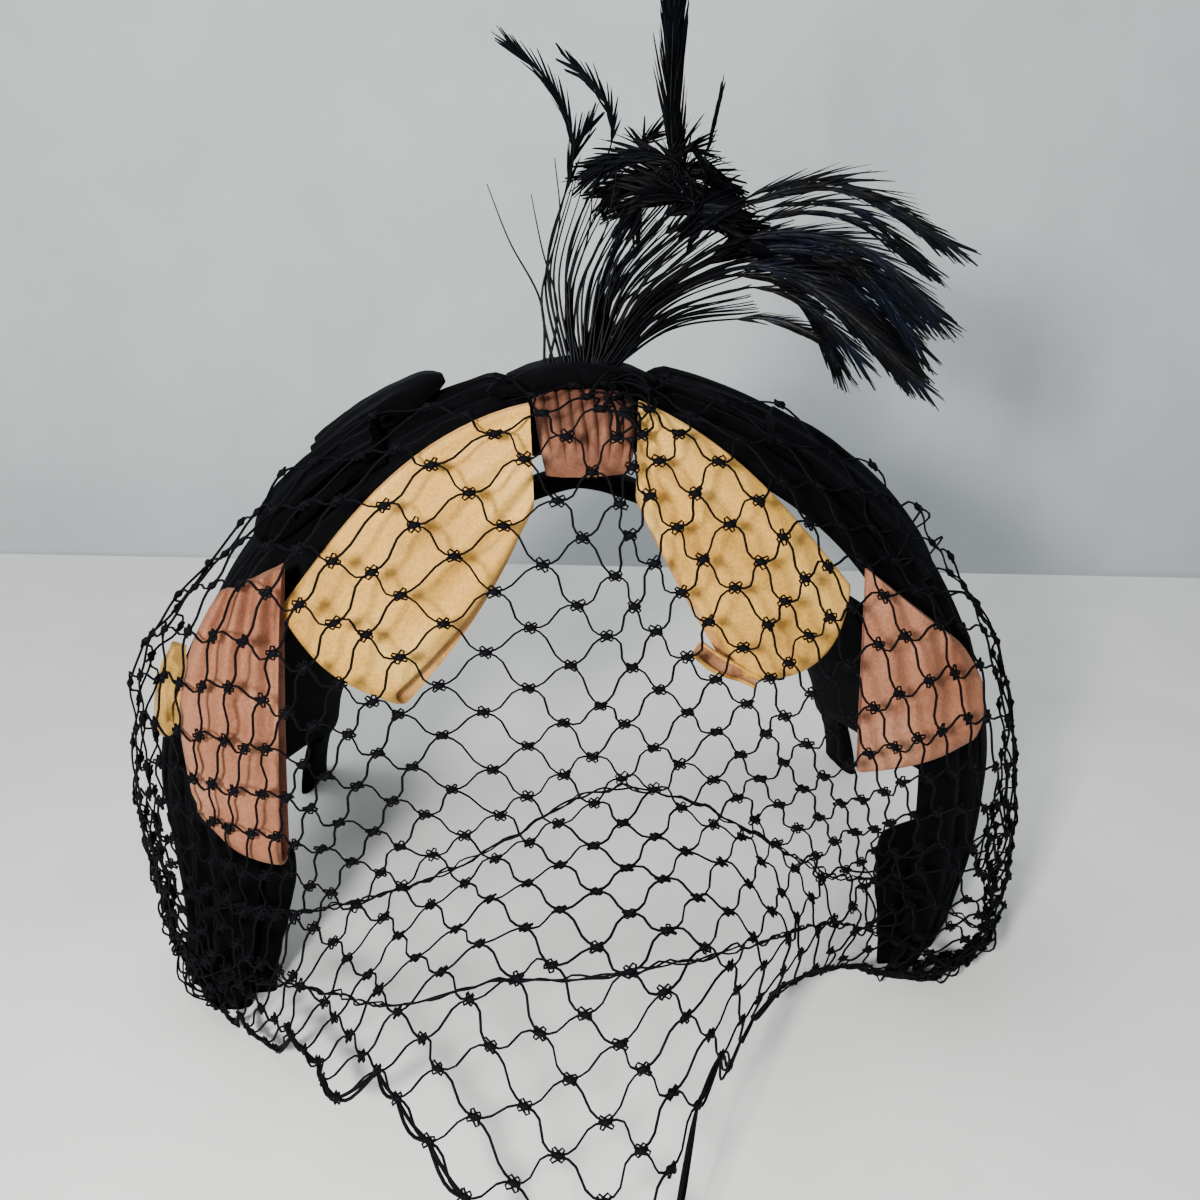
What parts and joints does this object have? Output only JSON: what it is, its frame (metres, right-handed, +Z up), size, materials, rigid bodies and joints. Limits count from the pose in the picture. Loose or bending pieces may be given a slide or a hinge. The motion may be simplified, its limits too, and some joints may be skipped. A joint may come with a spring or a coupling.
{
  "type": "birdcage veil hat",
  "caption": "Open half hat of velvet arches with ribbon loops, black bows, a feather plume and a birdcage net veil over the face, standing on its four ends",
  "frame": {"origin": "middle of the footprint of the whole hat, at floor level", "axes": "+Z up, the front of the hat with its veil faces -Y, +X is to the right of someone who looks at the front"},
  "size_m": [0.2134, 0.2085, 0.24],
  "materials": {
    "black_velvet": "matte velvet pile",
    "gold_velvet": "soft velvet ribbon with a pale sheen",
    "pink_velvet": "soft velvet ribbon with a pale sheen",
    "feather": "glossy barbs with a blue sheen",
    "net": "thin knotted thread, slightly glossy"
  },
  "bodies": {
    "root": {"front_band": "black_velvet", "back_band": "black_velvet", "end_tab_left": "black_velvet", "end_tab_right": "black_velvet", "black_bow_left_lower": "black_velvet", "black_bow_left_upper": "black_velvet", "black_bow_right": "black_velvet", "gold_loop_left": "gold_velvet", "gold_loop_right": "gold_velvet", "gold_loop_outer_left": "gold_velvet", "pink_loop_left": "pink_velvet", "pink_loop_right": "pink_velvet", "centre_knot": "pink_velvet", "plume": "feather", "veil": "net"}
  },
  "joints": []
}
